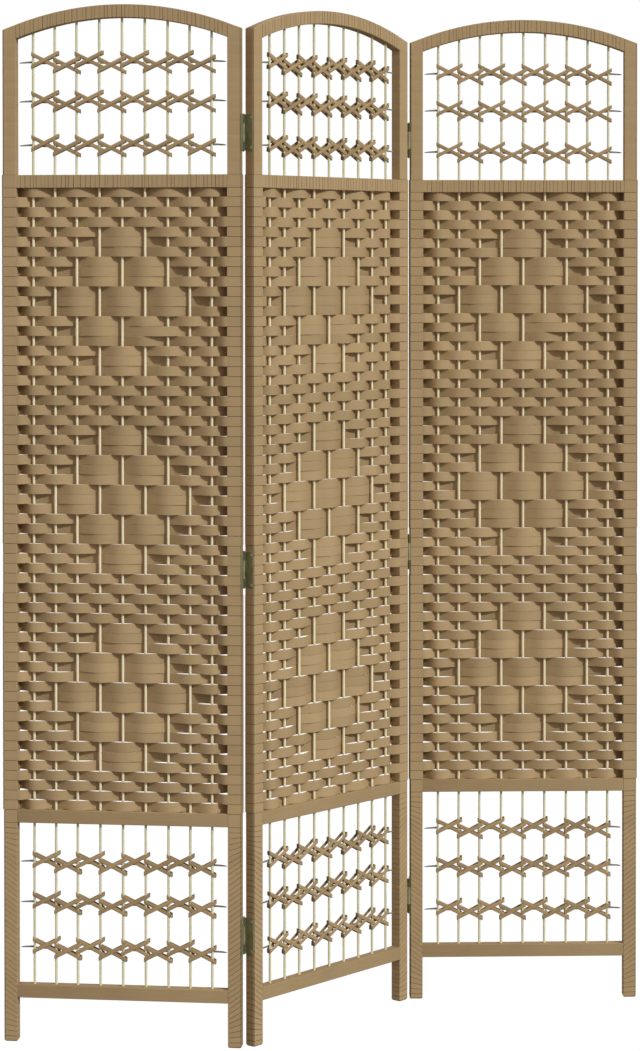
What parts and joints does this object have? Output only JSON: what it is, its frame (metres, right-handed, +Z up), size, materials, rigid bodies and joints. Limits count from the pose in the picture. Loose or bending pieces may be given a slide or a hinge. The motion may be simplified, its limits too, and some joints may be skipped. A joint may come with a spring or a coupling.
{
  "type": "folding screen",
  "caption": "Tall folding screen of hinged, arched timber panels, each filled with a diamond weave of flat fibre strip between open lattices of rods and crossed ties.",
  "frame": {"origin": "floor level, at the middle of the footprint as the screen stands in its zigzag at rest", "axes": "+Z up, +X along the left panel towards the right panel, -Y the front"},
  "size_m": [1.031, 0.4168, 1.7067],
  "materials": {
    "frame": "slim timber wrapped in matte fibre strip",
    "fibre": "matte paper fibre strip",
    "rod": "pale bare wood",
    "wire": "dull wire",
    "brass": "aged, dull"
  },
  "bodies": {
    "left_panel": {"left_panel_left_post": "frame", "left_panel_right_post": "frame", "left_panel_arch_rail": "frame", "left_panel_upper_rail": "frame", "left_panel_lower_rail": "frame", "left_panel_bottom_rail": "frame", "left_panel_warp_rods": "rod", "left_panel_weft_strips": "fibre", "left_panel_tie_strips": "fibre", "left_panel_tie_wires": "wire", "ridge_hinge_left_leaves": "brass", "ridge_hinge_pins": "brass"},
    "middle_panel": {"middle_panel_left_post": "frame", "middle_panel_right_post": "frame", "middle_panel_arch_rail": "frame", "middle_panel_upper_rail": "frame", "middle_panel_lower_rail": "frame", "middle_panel_bottom_rail": "frame", "middle_panel_warp_rods": "rod", "middle_panel_weft_strips": "fibre", "middle_panel_tie_strips": "fibre", "middle_panel_tie_wires": "wire", "ridge_hinge_right_leaves": "brass", "valley_hinge_left_leaves": "brass", "valley_hinge_pins": "brass"},
    "right_panel": {"right_panel_left_post": "frame", "right_panel_right_post": "frame", "right_panel_arch_rail": "frame", "right_panel_upper_rail": "frame", "right_panel_lower_rail": "frame", "right_panel_bottom_rail": "frame", "right_panel_warp_rods": "rod", "right_panel_weft_strips": "fibre", "right_panel_tie_strips": "fibre", "right_panel_tie_wires": "wire", "valley_hinge_right_leaves": "brass"}
  },
  "joints": [
    {"name": "ridge_fold", "type": "hinge", "parent": "left_panel", "child": "middle_panel", "pos_m": [-0.11819, -0.18784, 0], "axis": [0, 0, 1], "range_deg": [-56, 124]},
    {"name": "valley_fold", "type": "hinge", "parent": "middle_panel", "child": "right_panel", "pos_m": [0.12295, 0.13031, 0], "axis": [0, 0, 1], "range_deg": [-132.4, 47.6]}
  ]
}
